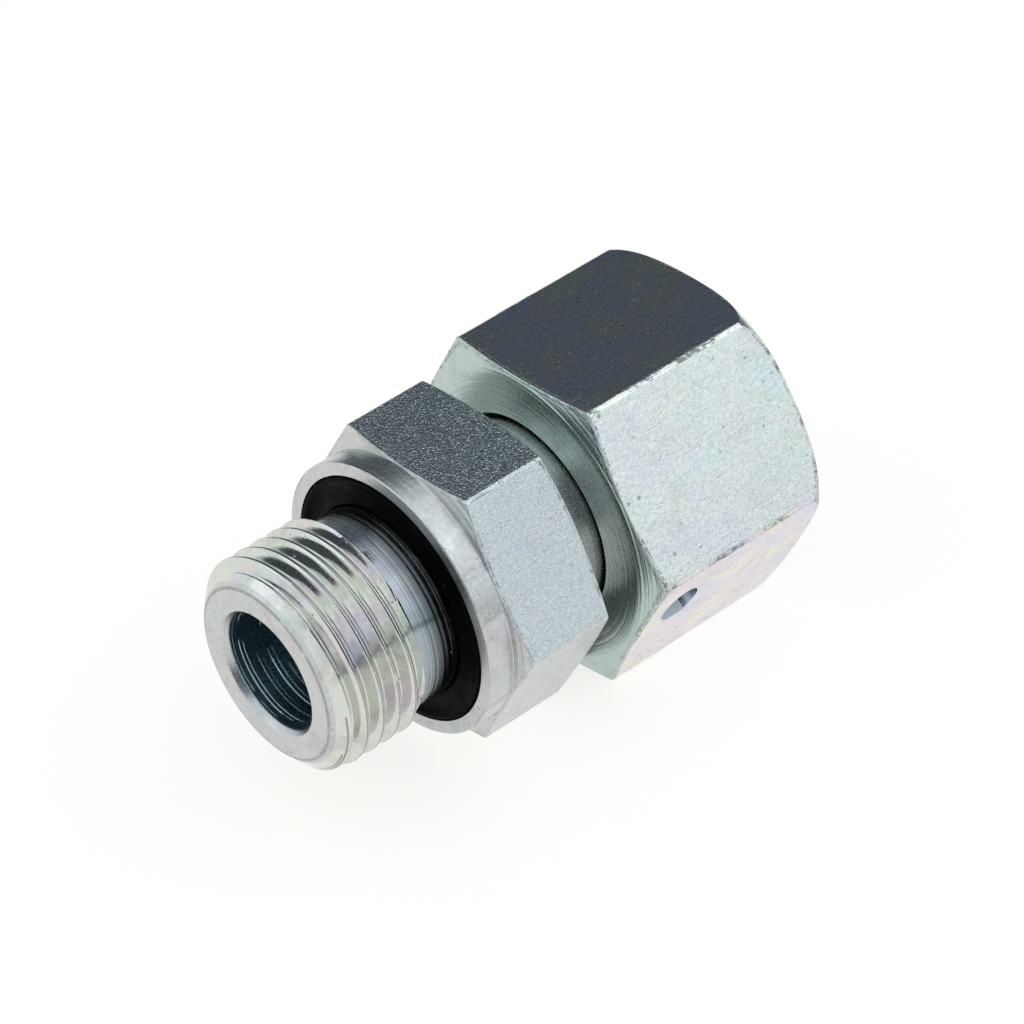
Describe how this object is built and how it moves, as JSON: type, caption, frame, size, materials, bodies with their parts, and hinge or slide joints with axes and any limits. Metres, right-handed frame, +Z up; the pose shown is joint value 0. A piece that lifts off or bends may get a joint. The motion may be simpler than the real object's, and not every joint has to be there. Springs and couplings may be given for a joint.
{
  "type": "hydraulic fitting",
  "caption": "Straight hydraulic adapter with a sealed male stud, a body hexagon, a 24 degree cone and a wire-held swivel nut.",
  "frame": {"origin": "on the flow axis, in the plane of the collar that closes on the port", "axes": "+X along the flow axis from the stud towards the nut's open end, +Z up from the nut's bottom flat, +Y completes the right-handed frame"},
  "size_m": [0.0514, 0.0346, 0.03],
  "materials": {
    "plated_steel": "zinc-plated and clear-passivated, satin, with turned and milled marks and a faint iridescence",
    "spring_wire": "drawn spring steel",
    "seal_rubber": "moulded black rubber, satin"
  },
  "bodies": {
    "body": {"fitting_body": "plated_steel", "stud_seal": "seal_rubber", "cone_o_ring": "seal_rubber"},
    "nut": {"swivel_nut": "plated_steel", "retaining_wire": "spring_wire"}
  },
  "joints": [
    {"name": "nut_swivel", "type": "hinge", "parent": "body", "child": "nut", "pos_m": [0.0209, 0, 0], "axis": [1, 0, 0], "continuous": true}
  ]
}
